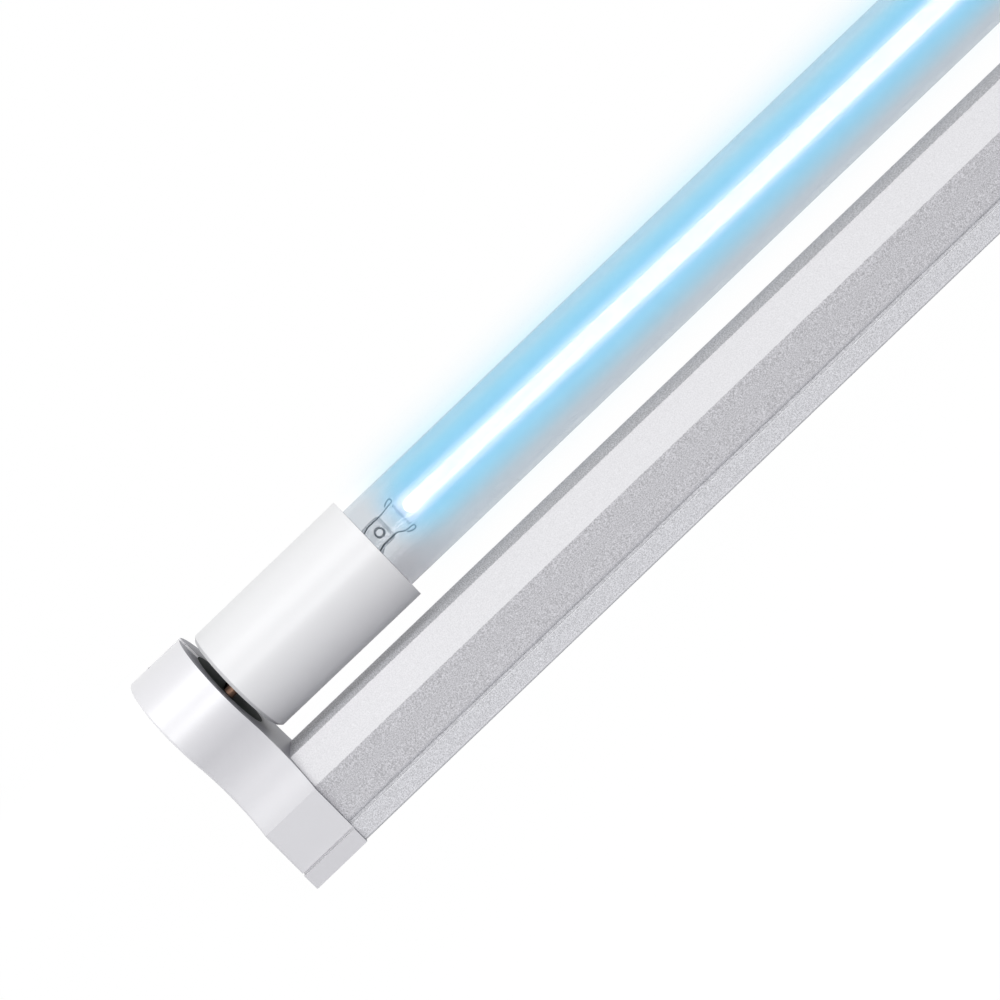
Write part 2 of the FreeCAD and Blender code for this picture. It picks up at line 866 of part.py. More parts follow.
def earth_ring():
    """Ring terminal under the earth screw, with a short crimp barrel towards the terminal block."""
    z0 = floor_z
    z1 = floor_z + earth_ring_thickness
    ring = rod_z(earth_place, 0, z0, z1, earth_ring_diameter / 2)
    half = earth_tongue_width / 2
    tongue = block(earth_place, earth_place + earth_tongue, -half, half, z0, z1)
    hole = rod_z(earth_place, 0, z0 - 1, z1 + 1, fixing_screw_diameter / 2 + screw_play)
    return fuse_all([ring, tongue]).cut(hole)


def fixing_screws():
    seat = floor_z + ballast_ear_thickness
    screws = [pan_screw_z(x, seat, 0, fixing_screw_diameter) for x in ballast_screw_places()]
    return Part.makeCompound(screws)


def earth_screw():
    return pan_screw_z(earth_place, floor_z + earth_ring_thickness, 0, fixing_screw_diameter)


def lamp_wires(start_x):
    """Two wires from a connector at start_x to the right end cap's contacts, in lanes near the sides."""
    floor_lane = floor_z + wire_diameter / 2 + wire_lift
    connector_z = board_top + connector_height / 2
    passage_z = passage_top - passage_height / 2
    foot_z = axis_height - contact_foot_drop
    contact_middle = contact_x + contact_width / 2
    step = 2 * wire_bend
    y0 = ballast_window_half_width - board_margin - wire_diameter
    y1 = passage_half_width / 2
    points = [
        V(start_x, y0, connector_z),
        V(start_x + ballast_ear + step, y0, connector_z),
        V(start_x + ballast_ear + 3 * step, wire_lane, floor_lane),
        V(face_x - 3.5 * step, wire_lane, floor_lane),
        V(face_x - 1.5 * step, y1, passage_z),
        V(contact_middle, y1, passage_z),
        V(contact_middle, contact_leg, foot_z - crimp_length),
        V(contact_middle, contact_leg, foot_z),
    ]
    path = Part.Wire(rounded_edges(points, [wire_bend] * 4 + [wire_bend * 0.4, wire_bend * 0.17]))
    ring = Part.Wire(Part.makeCircle(wire_diameter / 2, points[0], ALONG))
    wire = Part.Solid(path.makePipeShell([ring], True, False))
    return Part.makeCompound([wire, wire.mirror(ORIGIN, ACROSS)])


def mains_wire(side):
    """Live or neutral wire, from the terminal block to the ballast's near connector."""
    start = terminal_xs()[0]
    middle = (start + ballast_high) / 2
    z0 = terminal_hole_height()
    z1 = board_top + connector_height / 2
    y0 = side * terminal_pitch
    y1 = side * wire_diameter * 1.5
    points = [
        V(start, y0, z0),
        V(middle + wire_bend, y0, z0),
        V(middle - 2 * wire_bend, y1, z1),
        V(ballast_high, y1, z1),
    ]
    return wire_tube(points, wire_diameter, wire_bend)


def earth_wire():
    """Short wire from the terminal block down to the earth ring's tongue."""
    start = terminal_xs()[0]
    z0 = terminal_hole_height()
    low_z = floor_z + earth_ring_thickness + wire_diameter / 2
    tongue_end = earth_place + earth_tongue
    points = [
        V(start, 0, z0),
        V(start - wire_bend, 0, z0),
        V(tongue_end + wire_bend / 2, 0, low_z),
        V(tongue_end - wire_bend / 2, 0, low_z),
    ]
    return wire_tube(points, wire_diameter, wire_bend / 2)


save("cover", cover())
save("base_tray", base_tray())
save_both("end_cap", end_cap())
save_both("socket_plate", socket_plate())
save_both("rotor", rotor())
save_both("contact_front", contact(-1))
save_both("contact_rear", contact(1))
save_both("cap_screw", cap_screw())

save("quartz_tube", quartz_tube())
save_both("ferrule", ferrule())
save_both("pin_front", pin(-1))
save_both("pin_rear", pin(1))
save_both("stem", stem())
save_both("lead_wire_upper", lead_wire(1))
save_both("lead_wire_lower", lead_wire(-1))
save_both("filament", filament())

save("cable_bush", cable_bush())
save("ballast_case", ballast_case())
save("ballast_lid", ballast_lid())
save("ballast_board", ballast_board())
save("choke_core", choke_core())
save("choke_winding", choke_winding())
save("main_capacitor", main_capacitor())
save("film_capacitors", film_capacitors())
save("transistors", transistors())
save("ballast_connectors", ballast_connectors())
save("ballast_screws", fixing_screws())
save("terminal_block", terminal_block())
save("terminal_screws", terminal_screws())
save("earth_ring", earth_ring())
save("earth_screw", earth_screw())
save("right_lamp_wires", lamp_wires(ballast_high))
save("left_lamp_wires", lamp_wires(-ballast_low).mirror(ORIGIN, ALONG))
save("live_wire", mains_wire(-1))
save("neutral_wire", mains_wire(1))
save("earth_wire", earth_wire())
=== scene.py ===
"""Looks of a clear germicidal lamp in its batten fitting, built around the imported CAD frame."""

import json
import math

import bpy
from mathutils import Matrix, Vector


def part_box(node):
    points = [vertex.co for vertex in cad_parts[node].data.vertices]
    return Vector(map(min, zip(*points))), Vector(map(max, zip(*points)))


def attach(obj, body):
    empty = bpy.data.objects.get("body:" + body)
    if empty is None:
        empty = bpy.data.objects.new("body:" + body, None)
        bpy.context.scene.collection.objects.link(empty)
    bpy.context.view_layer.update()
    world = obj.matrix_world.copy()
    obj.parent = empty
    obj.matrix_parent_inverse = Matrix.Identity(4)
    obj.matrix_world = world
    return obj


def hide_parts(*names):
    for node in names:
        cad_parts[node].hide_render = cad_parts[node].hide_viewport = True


MM = 0.001

# Camera
CAMERA_DISTANCE = 330 * MM
CAMERA_LENS = 57.417
CAMERA_ELEVATION = 11.754
CAMERA_ROLL = -43.72
CAMERA_SHIFT = (-0.0318, 0.2025)
CAMERA_CLIP = 10 * MM
AIM_FROM_CAP = 42 * MM
AIM_HEIGHT = -6.3 * MM

# Soft boxes: place, size and power of each, and whether shiny faces mirror it
LIGHT_AIM_FROM_CAP = 64.5 * MM
SOFT_BOXES = {
    "key": ((-0.2, -0.95, 1.13), (1.6, 0.7), 12.3, True),
    "fill": ((0.0, -1.45, 0.3), (0.6, 0.3), 6.8, True),
    "back": ((0.17, 1.45, 0.5), (1.6, 0.5), 7.0, False),
    "left": ((-1.6, 0.15, 0.4), (0.6, 0.6), 5.0, False),
    "right": ((1.95, 0.15, 0.4), (0.6, 0.6), 5.0, False),
}

# Surroundings: the light they give, and the white that the camera sees of them
AMBIENT = 0.37
AMBIENT_COLOR = (0.97, 0.98, 1.0)
WHITE = (1.0, 1.0, 1.0)
FLOOR_SIZE = 6.0
FLOOR_DROP = 0.05 * MM
FLOOR_PALE = (0.32, 0.32, 0.35)
FLOOR_SEEN_PALE = (0.05, 0.05, 0.05)
FLOOR_RUN = (0.3, 1.7)
FLOOR_GLOW = (0.955, 0.98)

# Discharge: a white core in layers of fading white, a rose tone close in, and blue throughout
CORE_RADIUS = (1.58 * MM, 1.79 * MM)
CORE_START = 9.4 * MM
CORE_TIP = 1.2 * CORE_RADIUS[0]
CORE_LIGHT = 7.0
GLOW_LAYERS = 24
WHITE_LAYERS = 6
GLOW_FIRST = 1.64 * MM
GLOW_LAST = 9.75 * MM
GLOW_TIP = 1.0 * MM
LEAST_COVER = 1e-6
WHITE_COVER = 0.33
WHITE_FALL = 1.09 * MM
WHITE_LIGHT = (2.85, 2.4, 2.35)
WHITE_START = (7.6 * MM, 12.5 * MM)
ROSE_COVER = 0.09
ROSE_FALL = 2.95 * MM
ROSE_LIGHT = (0.99, 0.29, 1.0)
BLUE_COVER = 0.052
BLUE_THIN = 0.62
BLUE_THIN_POWER = 6
BLUE_LIGHT = (0.15, 0.91, 1.14)
BLUE_START = (2.5 * MM, 16 * MM)
BLUE_TILT = (0.6, 0.08)
END_LIFT = 1.85 * MM
MIDDLE_LIFT = 0.85 * MM
LIFT_RUN = 100 * MM
RING_SIDES = 40
RING_STEPS = [0, 0.05, 0.2, 0.45, 0.8, 1.25, 1.8, 2.5, 3.5, 5, 7, 9, 12, 16, 22, 30, 45, 65, 90,
              120, 155]
GLOW_ATTRIBUTE = "glow"
TRANSPARENT_BOUNCES = 96

# Painted glow of the lamp's light: haze in the air round the lit tube, part of the backdrop
HAZE_COUNTS = {"over": 18, "under": 9}
HAZE_STEP = 0.46 * MM
HAZE_FALL = 2.9 * MM
HAZE_DEPTH = (0.032, 0.0096, 0.0006)
HAZE_SHARE = {"over": 1.0, "under": 0.18}
HAZE_EDGE = 1.4 * MM
HAZE_RISE = 0.9 * MM
HAZE_FADE = 16 * MM
HAZE_ROWS = 24
HAZE_COLUMNS = 80

# Glass: tints of what is seen through it, painted shade under the tube and by its mouths, and how much
# it shines at the face and at the rim
GLASS_SHINE = (0.9, 0.92, 0.95)
GLASS_ROUGHNESS = 0.04
GLASS_BLEND = 0.3
BORE_RADIUS = 8.95 * MM
TUBE_TOP_TINT = (0.83, 0.85, 0.87)
TUBE_LOW_PAINTED_SHADE = (0.756, 0.778, 0.805)
TUBE_BORE_TINT = (0.97, 0.975, 0.98)
TUBE_MOUTH_PAINTED_SHADE = (0.645, 0.645, 0.665)
TUBE_MOUTH_RUN = (-18 * MM, 5.4 * MM)
TUBE_SHADE_RISE = (-5.5 * MM, -1.0 * MM)
TUBE_GLOSS = (0.005, 0.03)
STEM_TINT = (0.93, 0.935, 0.94)
STEM_RIM_TINT = (0.30, 0.33, 0.36)
STEM_GLOSS = (0.01, 0.25)

# Sandy paint: painted shade and painted light, and the grain, of each fold, by how far it faces up,
# from 0 for down to 1 for up
TUCK_PAINTED_SHADE = (0.54, 0.54, 0.56, 0.6)
SIDE_PAINTED_SHADE = (0.515, 0.51, 0.53, 0.72)
BEVEL_PAINTED_LIGHT = (0.725, 0.72, 0.735, 0.18)
TOP_PAINTED_SHADE = (0.485, 0.485, 0.505, 1.0)
COVER_PAINTED_SHADING = [(0.525, TUCK_PAINTED_SHADE), (0.545, SIDE_PAINTED_SHADE), (0.67, SIDE_PAINTED_SHADE), (0.71, BEVEL_PAINTED_LIGHT),
               (0.90, BEVEL_PAINTED_LIGHT), (0.96, TOP_PAINTED_SHADE)]
# Tray folds: painted light on the rounding underneath, painted shade on the side, and a painted
# highlight on the up-facing top edge
TRAY_UNDER_PAINTED_LIGHT = (0.92, 0.92, 0.93, 0.3)
TRAY_SIDE_PAINTED_SHADE = (0.66, 0.66, 0.68, 0.62)
TRAY_EDGE_PAINTED_HIGHLIGHT = (0.95, 0.95, 0.96, 0.3)
TRAY_PAINTED_SHADING = [(0.35, TRAY_UNDER_PAINTED_LIGHT), (0.48, TRAY_SIDE_PAINTED_SHADE), (0.515, TRAY_SIDE_PAINTED_SHADE), (0.57, TRAY_EDGE_PAINTED_HIGHLIGHT)]
PAINT_ROUGHNESS = 0.62
PAINT_SPECULAR = 0.3
GRAIN = 1.25
GRAIN_SHAPE = (1.0, 0.2, 1.0)
GRAIN_DETAIL = 3.0
GRAIN_SCALE = 4400
BUMP_SCALE = 1700
BUMP_STRENGTH = 0.35
BUMP_DEPTH = 0.08 * MM

# End cap: white head, a foot darkened as painted shade, and a grey painted shade on the faces that look
# towards the lamp
CAP_WHITE = (0.725, 0.72, 0.74)
CAP_FOOT_PAINTED_SHADE = (0.63, 0.625, 0.645)
CAP_PAINTED_SHADE = (0.25, 0.25, 0.28)
CAP_PAINTED_SHADE_RUN = (-0.10, -0.18)
CAP_HEAD = (24 * MM, 33 * MM)
CAP_ROUGHNESS = 0.42
CAP_COAT = (0.15, 1.0)
CAP_COAT_ROUGHNESS = 0.36
CAP_COAT_IOR = 1.8

# Even materials: colour, roughness, share of metal and shine
EVEN_LOOKS = {
    "rotor_plastic": ((0.008, 0.018, 0.014), 0.6, 0.0, 0.15),
    "contact_bronze": ((0.45, 0.22, 0.13), 0.35, 1.0, 0.5),
    "screw_steel": ((0.62, 0.62, 0.64), 0.32, 1.0, 0.5),
    "ferrule_white": ((0.80, 0.80, 0.805), 0.36, 0.0, 0.4),
    # The pin's brass is darkened as painted shade in the gap between ferrule and cap
    "pin_brass": ((0.17, 0.10, 0.07), 0.45, 1.0, 0.5),
    "lead_nickel": ((0.20, 0.24, 0.27), 0.45, 0.6, 0.5),
    "tungsten": ((0.26, 0.31, 0.34), 0.5, 0.5, 0.5),
    # Painted shade for the rims of the stem's vent
    "vent_painted_shade": ((0.28, 0.31, 0.34), 0.3, 0.0, 0.5),
    "bush_rubber": ((0.03, 0.03, 0.032), 0.7, 0.0, 0.5),
    "ballast_plastic": ((0.74, 0.74, 0.72), 0.5, 0.0, 0.5),
    "board_green": ((0.02, 0.13, 0.05), 0.4, 0.0, 0.5),
    "ferrite": ((0.03, 0.03, 0.032), 0.6, 0.0, 0.5),
    "winding_copper": ((0.55, 0.22, 0.09), 0.3, 1.0, 0.5),
    "capacitor_sleeve": ((0.015, 0.02, 0.05), 0.3, 0.0, 0.5),
    "film_red": ((0.20, 0.03, 0.02), 0.35, 0.0, 0.5),
    "transistor_black": ((0.015, 0.015, 0.015), 0.5, 0.0, 0.5),
    "connector_white": ((0.75, 0.75, 0.72), 0.4, 0.0, 0.5),
    "lamp_wire": ((0.70, 0.70, 0.70), 0.45, 0.0, 0.4),
    "live_brown": ((0.09, 0.03, 0.012), 0.45, 0.0, 0.4),
    "neutral_blue": ((0.01, 0.05, 0.30), 0.45, 0.0, 0.4),
    "earth_green": ((0.08, 0.30, 0.03), 0.45, 0.0, 0.4),
    "earth_metal": ((0.72, 0.50, 0.22), 0.35, 1.0, 0.5),
}

# Vent through the stem's press, with dark rings of painted shade at its rims
VENT_DEPTH = 2.5 * MM
VENT_LIFT = 2.0 * MM
VENT_RADIUS = 0.95 * MM
VENT_RIM = 0.2 * MM
VENT_RIM_OUT = 1.2 * MM
VENT_SEGMENTS = 28
VENT_RIM_SEGMENTS = 8

# Filament coil
COIL_TURNS = 8
COIL_RADIUS = 0.26 * MM
COIL_WIRE = 0.06 * MM
COIL_STEPS = 14
COIL_ROUNDNESS = 2

# Places of the colour sockets of a mix node
MIX_LOW = 6
MIX_HIGH = 7
MIX_RESULT = 2


def link(obj):
    bpy.context.scene.collection.objects.link(obj)
    return obj


def mesh_object(name, points, faces):
    """A smooth-shaded mesh object from points and faces."""
    mesh = bpy.data.meshes.new(name)
    mesh.from_pydata(points, [], faces)
    mesh.update()
    for polygon in mesh.polygons:
        polygon.use_smooth = True
    return link(bpy.data.objects.new(name, mesh))


def grid_faces(lines, count, closed):
    """Quads between neighbouring lines of count points; closed joins each line's end to its start."""
    faces = []
    for i in range(lines - 1):
        for k in range(count if closed else count - 1):
            a, b = i * count + k, i * count + (k + 1) % count
            faces.append((a, b, b + count, a + count))
    return faces


def plug(tree, socket, value):
    """Link a socket to another one, or set it to a number, a vector or an opaque colour."""
    if isinstance(value, bpy.types.NodeSocket):
        tree.links.new(value, socket)
    elif socket.type == "RGBA":
        socket.default_value = (*value, 1.0)
    else:
        socket.default_value = value


def add_node(tree, kind, inputs=None, **settings):
    """A shader node with its settings, and its inputs by name or number, each a value or a socket."""
    node = tree.nodes.new("ShaderNode" + kind)
    for name, setting in settings.items():
        setattr(node, name, setting)
    for key, value in (inputs or {}).items():
        plug(tree, node.inputs[key], value)
    return node


def ranged(tree, value, start, end, low=0.0, high=1.0, smooth=False):
    """Socket that goes from low to high as value goes from start to end, and stays there."""
    inputs = {"Value": value, "From Min": start, "From Max": end, "To Min": low, "To Max": high}
    shape = "SMOOTHSTEP" if smooth else "LINEAR"
    return add_node(tree, "MapRange", inputs, interpolation_type=shape).outputs["Result"]


def mix_color(tree, factor, low, high, blend="MIX"):
    """Socket with the colour that goes from low to high with factor."""
    inputs = {"Factor": factor, MIX_LOW: low, MIX_HIGH: high}
    return add_node(tree, "Mix", inputs, data_type="RGBA", blend_type=blend).outputs[MIX_RESULT]


def mix_shaders(tree, factor, low, high):
    return add_node(tree, "MixShader", {"Fac": factor, 1: low, 2: high}).outputs["Shader"]


def calculate(tree, operation, *values):
    return add_node(tree, "Math", dict(enumerate(values)), operation=operation).outputs[0]


def calculate_vector(tree, operation, *vectors):
    node = add_node(tree, "VectorMath", dict(enumerate(vectors)), operation=operation)
    return node.outputs["Value" if operation == "LENGTH" else "Vector"]


def component(tree, vector, axis):
    return add_node(tree, "SeparateXYZ", {"Vector": vector}).outputs[axis]


def object_place(tree):
    return add_node(tree, "TexCoord").outputs["Object"]


def true_normal(tree):
    return add_node(tree, "NewGeometry").outputs["True Normal"]


def new_material(name):
    """A material with an empty node tree; returns both."""
    material = bpy.data.materials.new(name)
    material.use_nodes = True
    material.node_tree.nodes.clear()
    return material, material.node_tree


def show(tree, shader):
    """Make a shader's socket the surface of a material."""
    add_node(tree, "OutputMaterial", {"Surface": shader})


def even_material(name, color, roughness, metallic, specular):
    material, tree = new_material(name)
    shader = add_node(tree, "BsdfPrincipled", {
        "Base Color": color,
        "Roughness": roughness,
        "Metallic": metallic,
        "Specular IOR Level": specular,
    })
    show(tree, shader.outputs["BSDF"])
    return material


def noise(tree, scale, low, high):
    """Noise in object space, drawn out across the lamp, between low and high."""
    drawn = calculate_vector(tree, "MULTIPLY", object_place(tree), GRAIN_SHAPE)
    cells = add_node(tree, "TexNoise", {"Vector": drawn, "Scale": scale, "Detail": GRAIN_DETAIL})
    return ranged(tree, cells.outputs["Fac"], 0.0, 1.0, low, high)


def painted_fold_shading(tree, painted_shading):
    """Ramp node of painted shade and painted light over how far a face looks up."""
    upward = ranged(tree, component(tree, true_normal(tree), "Z"), -1.0, 1.0)
    ramp = add_node(tree, "ValToRGB", {"Fac": upward})
    stops = ramp.color_ramp.elements
    while len(stops) > 1:
        stops.remove(stops[-1])
    stops[0].position, stops[0].color = painted_shading[0]
    for position, color in painted_shading[1:]:
        stops.new(position).color = color
    return ramp


def sandy_paint(name, painted_shading):
    """Fine sandy grey enamel on folded steel, with painted shade or painted light on each fold by its
    slope, and real grain.
    """
    material, tree = new_material(name)
    ramp = painted_fold_shading(tree, painted_shading)
    grain = noise(tree, GRAIN_SCALE, 1 - GRAIN, 1 + GRAIN)
    pits = noise(tree, BUMP_SCALE, 0.0, 1.0)
    bump = add_node(tree, "Bump", {"Height": pits, "Strength": BUMP_STRENGTH, "Distance": BUMP_DEPTH})
    shader = add_node(tree, "BsdfPrincipled", {
        "Base Color": mix_color(tree, ramp.outputs["Alpha"], ramp.outputs["Color"], grain, "MULTIPLY"),
        "Roughness": PAINT_ROUGHNESS,
        "Specular IOR Level": PAINT_SPECULAR,
        "Normal": bump.outputs["Normal"],
    })
    show(tree, shader.outputs["BSDF"])
    return material


def cap_plastic():
    """Smooth white moulding with a glossier head; its foot is darker as painted shade, and its faces
    towards the lamp are a grey painted shade with no coat.
    """
    material, tree = new_material("cap_plastic")
    place = object_place(tree)
    facing = component(tree, true_normal(tree), "X")
    outward = calculate(tree, "MULTIPLY", component(tree, place, "X"), facing)
    # Painted shade on the faces that look towards the middle of the lamp
    shade = ranged(tree, outward, *CAP_PAINTED_SHADE_RUN)
    height = component(tree, place, "Z")
    # Painted shade: the foot darker than the head
    head_to_foot_shade = mix_color(tree, ranged(tree, height, *CAP_HEAD), CAP_FOOT_PAINTED_SHADE, CAP_WHITE)
    coat = ranged(tree, height, *CAP_HEAD, *CAP_COAT)
    lit = calculate(tree, "SUBTRACT", 1.0, shade)
    shader = add_node(tree, "BsdfPrincipled", {
        "Base Color": mix_color(tree, shade, head_to_foot_shade, CAP_PAINTED_SHADE),
        "Roughness": CAP_ROUGHNESS,
        "Coat Weight": calculate(tree, "MULTIPLY", coat, lit),
        "Coat Roughness": CAP_COAT_ROUGHNESS,
        "Coat IOR": CAP_COAT_IOR,
    })
    show(tree, shader.outputs["BSDF"])
    return material


def clear_glass(name, gloss):
    """Clear glass that shines more at a slant; returns it, its tree, the slant and the tint's input."""
    material, tree = new_material(name)
    slant = add_node(tree, "LayerWeight", {"Blend": GLASS_BLEND}).outputs["Facing"]
    clear = add_node(tree, "BsdfTransparent")
    shine = add_node(tree, "BsdfGlossy", {"Color": GLASS_SHINE, "Roughness": GLASS_ROUGHNESS})
    amount = ranged(tree, slant, 0.0, 1.0, *gloss)
    show(tree, mix_shaders(tree, amount, clear.outputs["BSDF"], shine.outputs["BSDF"]))
    return material, tree, slant, clear.inputs["Color"]


def stem_glass():
    """Clear glass of the stem, darker where it is seen at a slant."""
    material, tree, slant, tint = clear_glass("stem_glass", STEM_GLOSS)
    plug(tree, tint, mix_color(tree, slant, STEM_TINT, STEM_RIM_TINT))
    return material


def tube_glass(tube_radius, axis_z, mouth_x):
    """Clear envelope: its outer skin carries painted shade underneath and more by the mouths, its bore
    hardly tinted.
    """
    material, tree, _, tint = clear_glass("quartz", TUBE_GLOSS)
    place = object_place(tree)
    centred = calculate_vector(tree, "SUBTRACT", place, (0, 0, axis_z))
    across = calculate_vector(tree, "MULTIPLY", centred, (0, 1, 1))
    along = calculate(tree, "ABSOLUTE", component(tree, place, "X"))
    mouth_start, mouth_end = TUBE_MOUTH_RUN
    by_mouth = ranged(tree, along, mouth_x + mouth_start, mouth_x + mouth_end, smooth=True)
    # Painted shade: greyer underneath, and darker still underneath by the mouths
    low = mix_color(tree, by_mouth, TUBE_LOW_PAINTED_SHADE, TUBE_MOUTH_PAINTED_SHADE)
    rise = ranged(tree, component(tree, across, "Z"), *TUBE_SHADE_RISE, smooth=True)
    skin = mix_color(tree, rise, low, TUBE_TOP_TINT)
    radius = calculate_vector(tree, "LENGTH", across)
    outside = calculate(tree, "GREATER_THAN", radius, (tube_radius + BORE_RADIUS) / 2)
    plug(tree, tint, mix_color(tree, outside, TUBE_BORE_TINT, skin))
    return material


def glow_material():
    """Light of the discharge: its colour and cover come from the mesh's own attribute."""
    material, tree = new_material("discharge")
    glow = add_node(tree, "VertexColor", layer_name=GLOW_ATTRIBUTE)
    clear = add_node(tree, "BsdfTransparent").outputs["BSDF"]
    light = add_node(tree, "Emission", {"Color": glow.outputs["Color"]}).outputs["Emission"]
    show(tree, mix_shaders(tree, glow.outputs["Alpha"], clear, light))
    return material


def painted_glow_material():
    """Clear air that takes a little red out of what is behind it, as a painted blue glow."""
    material, tree = new_material("painted_glow_haze")
    glow = add_node(tree, "VertexColor", layer_name=GLOW_ATTRIBUTE)
    show(tree, add_node(tree, "BsdfTransparent", {"Color": glow.outputs["Color"]}).outputs["BSDF"])
    return material


def clamp(value):
    return max(0.0, min(1.0, value))


def ramp_up(value, start, full):
    """0 up to start, 1 from full on, smooth between."""
    share = clamp((value - start) / (full - start))
    return share * share * (3 - 2 * share)


def core_radius_at(depth):
    thin, thick = CORE_RADIUS
    return thin + (thick - thin) * clamp(depth / LIFT_RUN)


def lift_at(depth):
    """How far the discharge rises above the lamp's axis, more at the ends than in the middle."""
    return END_LIFT + (MIDDLE_LIFT - END_LIFT) * clamp(depth / LIFT_RUN)


def glow_at(radius, depth, rise):
    """Light and cover of the discharge: radius, depth past the lamp's mouth, rise over its axis."""
    white = WHITE_COVER * math.exp(-(((radius - GLOW_FIRST) / WHITE_FALL) ** 2))
    white *= ramp_up(depth, *WHITE_START)
    below, above = BLUE_TILT
    early = ramp_up(depth, *BLUE_START) * (1 + rise / GLOW_LAST * (above if rise > 0 else below))
    rose = ROSE_COVER * math.exp(-radius / ROSE_FALL) * early
    blue = BLUE_COVER * early * (1 - BLUE_THIN * (radius / GLOW_LAST) ** BLUE_THIN_POWER)
    parts = ((white, WHITE_LIGHT), (rose, ROSE_LIGHT), (blue, BLUE_LIGHT))
    whole = max(white + rose + blue, LEAST_COVER)
    light = [sum(share * color[k] for share, color in parts) / whole for k in range(3)]
    return (*light, 1 - (1 - white) * (1 - rose) * (1 - blue))


def capsule(name, radius_at, centre_at, start, tip_length, mouth_x):
    """A round-tipped tube along X, from start past one mouth of the lamp to start past the other."""
    rings = []
    for step in RING_STEPS:
        depth = start + step * MM
        share = min((depth - start) / tip_length, 1.0)
        rings.append((mouth_x - depth, depth, radius_at(depth) * math.sqrt(1 - (1 - share) ** 2)))
    rings += [(-x, depth, radius) for x, depth, radius in reversed(rings)]
    points = []
    for x, depth, radius in rings:
        for k in range(RING_SIDES):
            angle = 2 * math.pi * k / RING_SIDES
            points.append((x, radius * math.cos(angle), centre_at(depth) + radius * math.sin(angle)))
    return mesh_object(name, points, grid_faces(len(rings), RING_SIDES, closed=True))


def paint_glow(obj, colors):
    """Fill the glow attribute with red, green, blue and cover for each point."""
    layer = obj.data.color_attributes.new(GLOW_ATTRIBUTE, "FLOAT_COLOR", "POINT")
    for item, color in zip(layer.data, colors):
        item.color = color


def quiet(obj):
    """Seen by the camera, but lights nothing else."""
    obj.visible_diffuse = False
    obj.visible_glossy = False
    obj.visible_shadow = False


def discharge(mouth_x, axis_z):
    """White core and fading layers of the discharge, between the two filaments."""
    core = capsule("discharge_core", core_radius_at, lambda depth: axis_z + lift_at(depth),
                   CORE_START, CORE_TIP, mouth_x)
    paint_glow(core, [(CORE_LIGHT, CORE_LIGHT, CORE_LIGHT, 1.0)] * len(core.data.vertices))
    pieces = [core]
    for i in range(GLOW_LAYERS):
        radius = GLOW_FIRST + (GLOW_LAST - GLOW_FIRST) * (i + 0.5) / GLOW_LAYERS
        start = WHITE_START[0] if i < WHITE_LAYERS else BLUE_START[0]
        room = GLOW_LAST - radius
        layer = capsule(f"discharge_layer_{i + 1}", lambda depth: radius,
                        lambda depth: axis_z + min(lift_at(depth), room), start, GLOW_TIP, mouth_x)
        points = [vertex.co for vertex in layer.data.vertices]
        paint_glow(layer, [glow_at(radius, mouth_x - abs(p.x), p.z - axis_z) for p in points])
        pieces.append(layer)
    material = glow_material()
    for piece in pieces:
        piece.data.materials.append(material)
        quiet(piece)
        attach(piece, "lamp")


def painted_glow_sheet(end, number, end_x, axis_z, tube_radius):
    """A narrow arched sheet of painted glow along the tube's upper or lower edge."""
    side = 1 if end == "over" else -1
    radius = tube_radius + (number + 0.5) * HAZE_STEP
    half_angle = math.acos((tube_radius - HAZE_EDGE) / radius)
    strength = math.exp(-(radius - tube_radius) / HAZE_FALL) * HAZE_SHARE[end]
    points, tints = [], []
    for i in range(HAZE_COLUMNS + 1):
        x = end_x * (2 * i / HAZE_COLUMNS - 1)
        for k in range(HAZE_ROWS + 1):
            angle = half_angle * (2 * k / HAZE_ROWS - 1)
            z = radius * math.cos(angle)
            points.append((x, radius * math.sin(angle), axis_z + side * z))
            rise = clamp((z - tube_radius + HAZE_EDGE) / HAZE_RISE)
            amount = strength * rise * ramp_up(end_x - abs(x), 0.0, HAZE_FADE)
            tints.append((*(math.exp(-depth * amount) for depth in HAZE_DEPTH), 1.0))
    faces = grid_faces(HAZE_COLUMNS + 1, HAZE_ROWS + 1, closed=False)
    sheet = mesh_object(f"haze_{end}_{number + 1}", points, faces)
    paint_glow(sheet, tints)
    return sheet


def painted_glow_haze(mouth_x, axis_z, tube_radius):
    """Faint painted blue glow in the air over the lit tube, and a trace of it below."""
    material = painted_glow_material()
    for end, count in HAZE_COUNTS.items():
        for number in range(count):
            sheet = painted_glow_sheet(end, number, mouth_x, axis_z, tube_radius)
            sheet.data.materials.append(material)
            quiet(sheet)


def filament_coil(side, material):
    """The coiled filament, in place of the CAD model's plain rod."""
    node = side + "_filament"
    low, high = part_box(node)
    x, y = (low.x + high.x) / 2, (low.y + high.y) / 2
    curve = bpy.data.curves.new(side + "_filament_coil", "CURVE")
    curve.dimensions = "3D"
    curve.bevel_depth = COIL_WIRE
    curve.bevel_resolution = COIL_ROUNDNESS
    spline = curve.splines.new("POLY")
    count = COIL_TURNS * COIL_STEPS
    spline.points.add(count)
    for i in range(count + 1):
        angle = 2 * math.pi * i / COIL_STEPS
        out, back = COIL_RADIUS * math.cos(angle), COIL_RADIUS * math.sin(angle)
        spline.points[i].co = (x + out, y + back, low.z + (high.z - low.z) * i / count, 1)
    coil = link(bpy.data.objects.new(side + "_filament_coil", curve))
    coil.data.materials.append(material)
    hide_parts(node)
    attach(coil, "lamp")


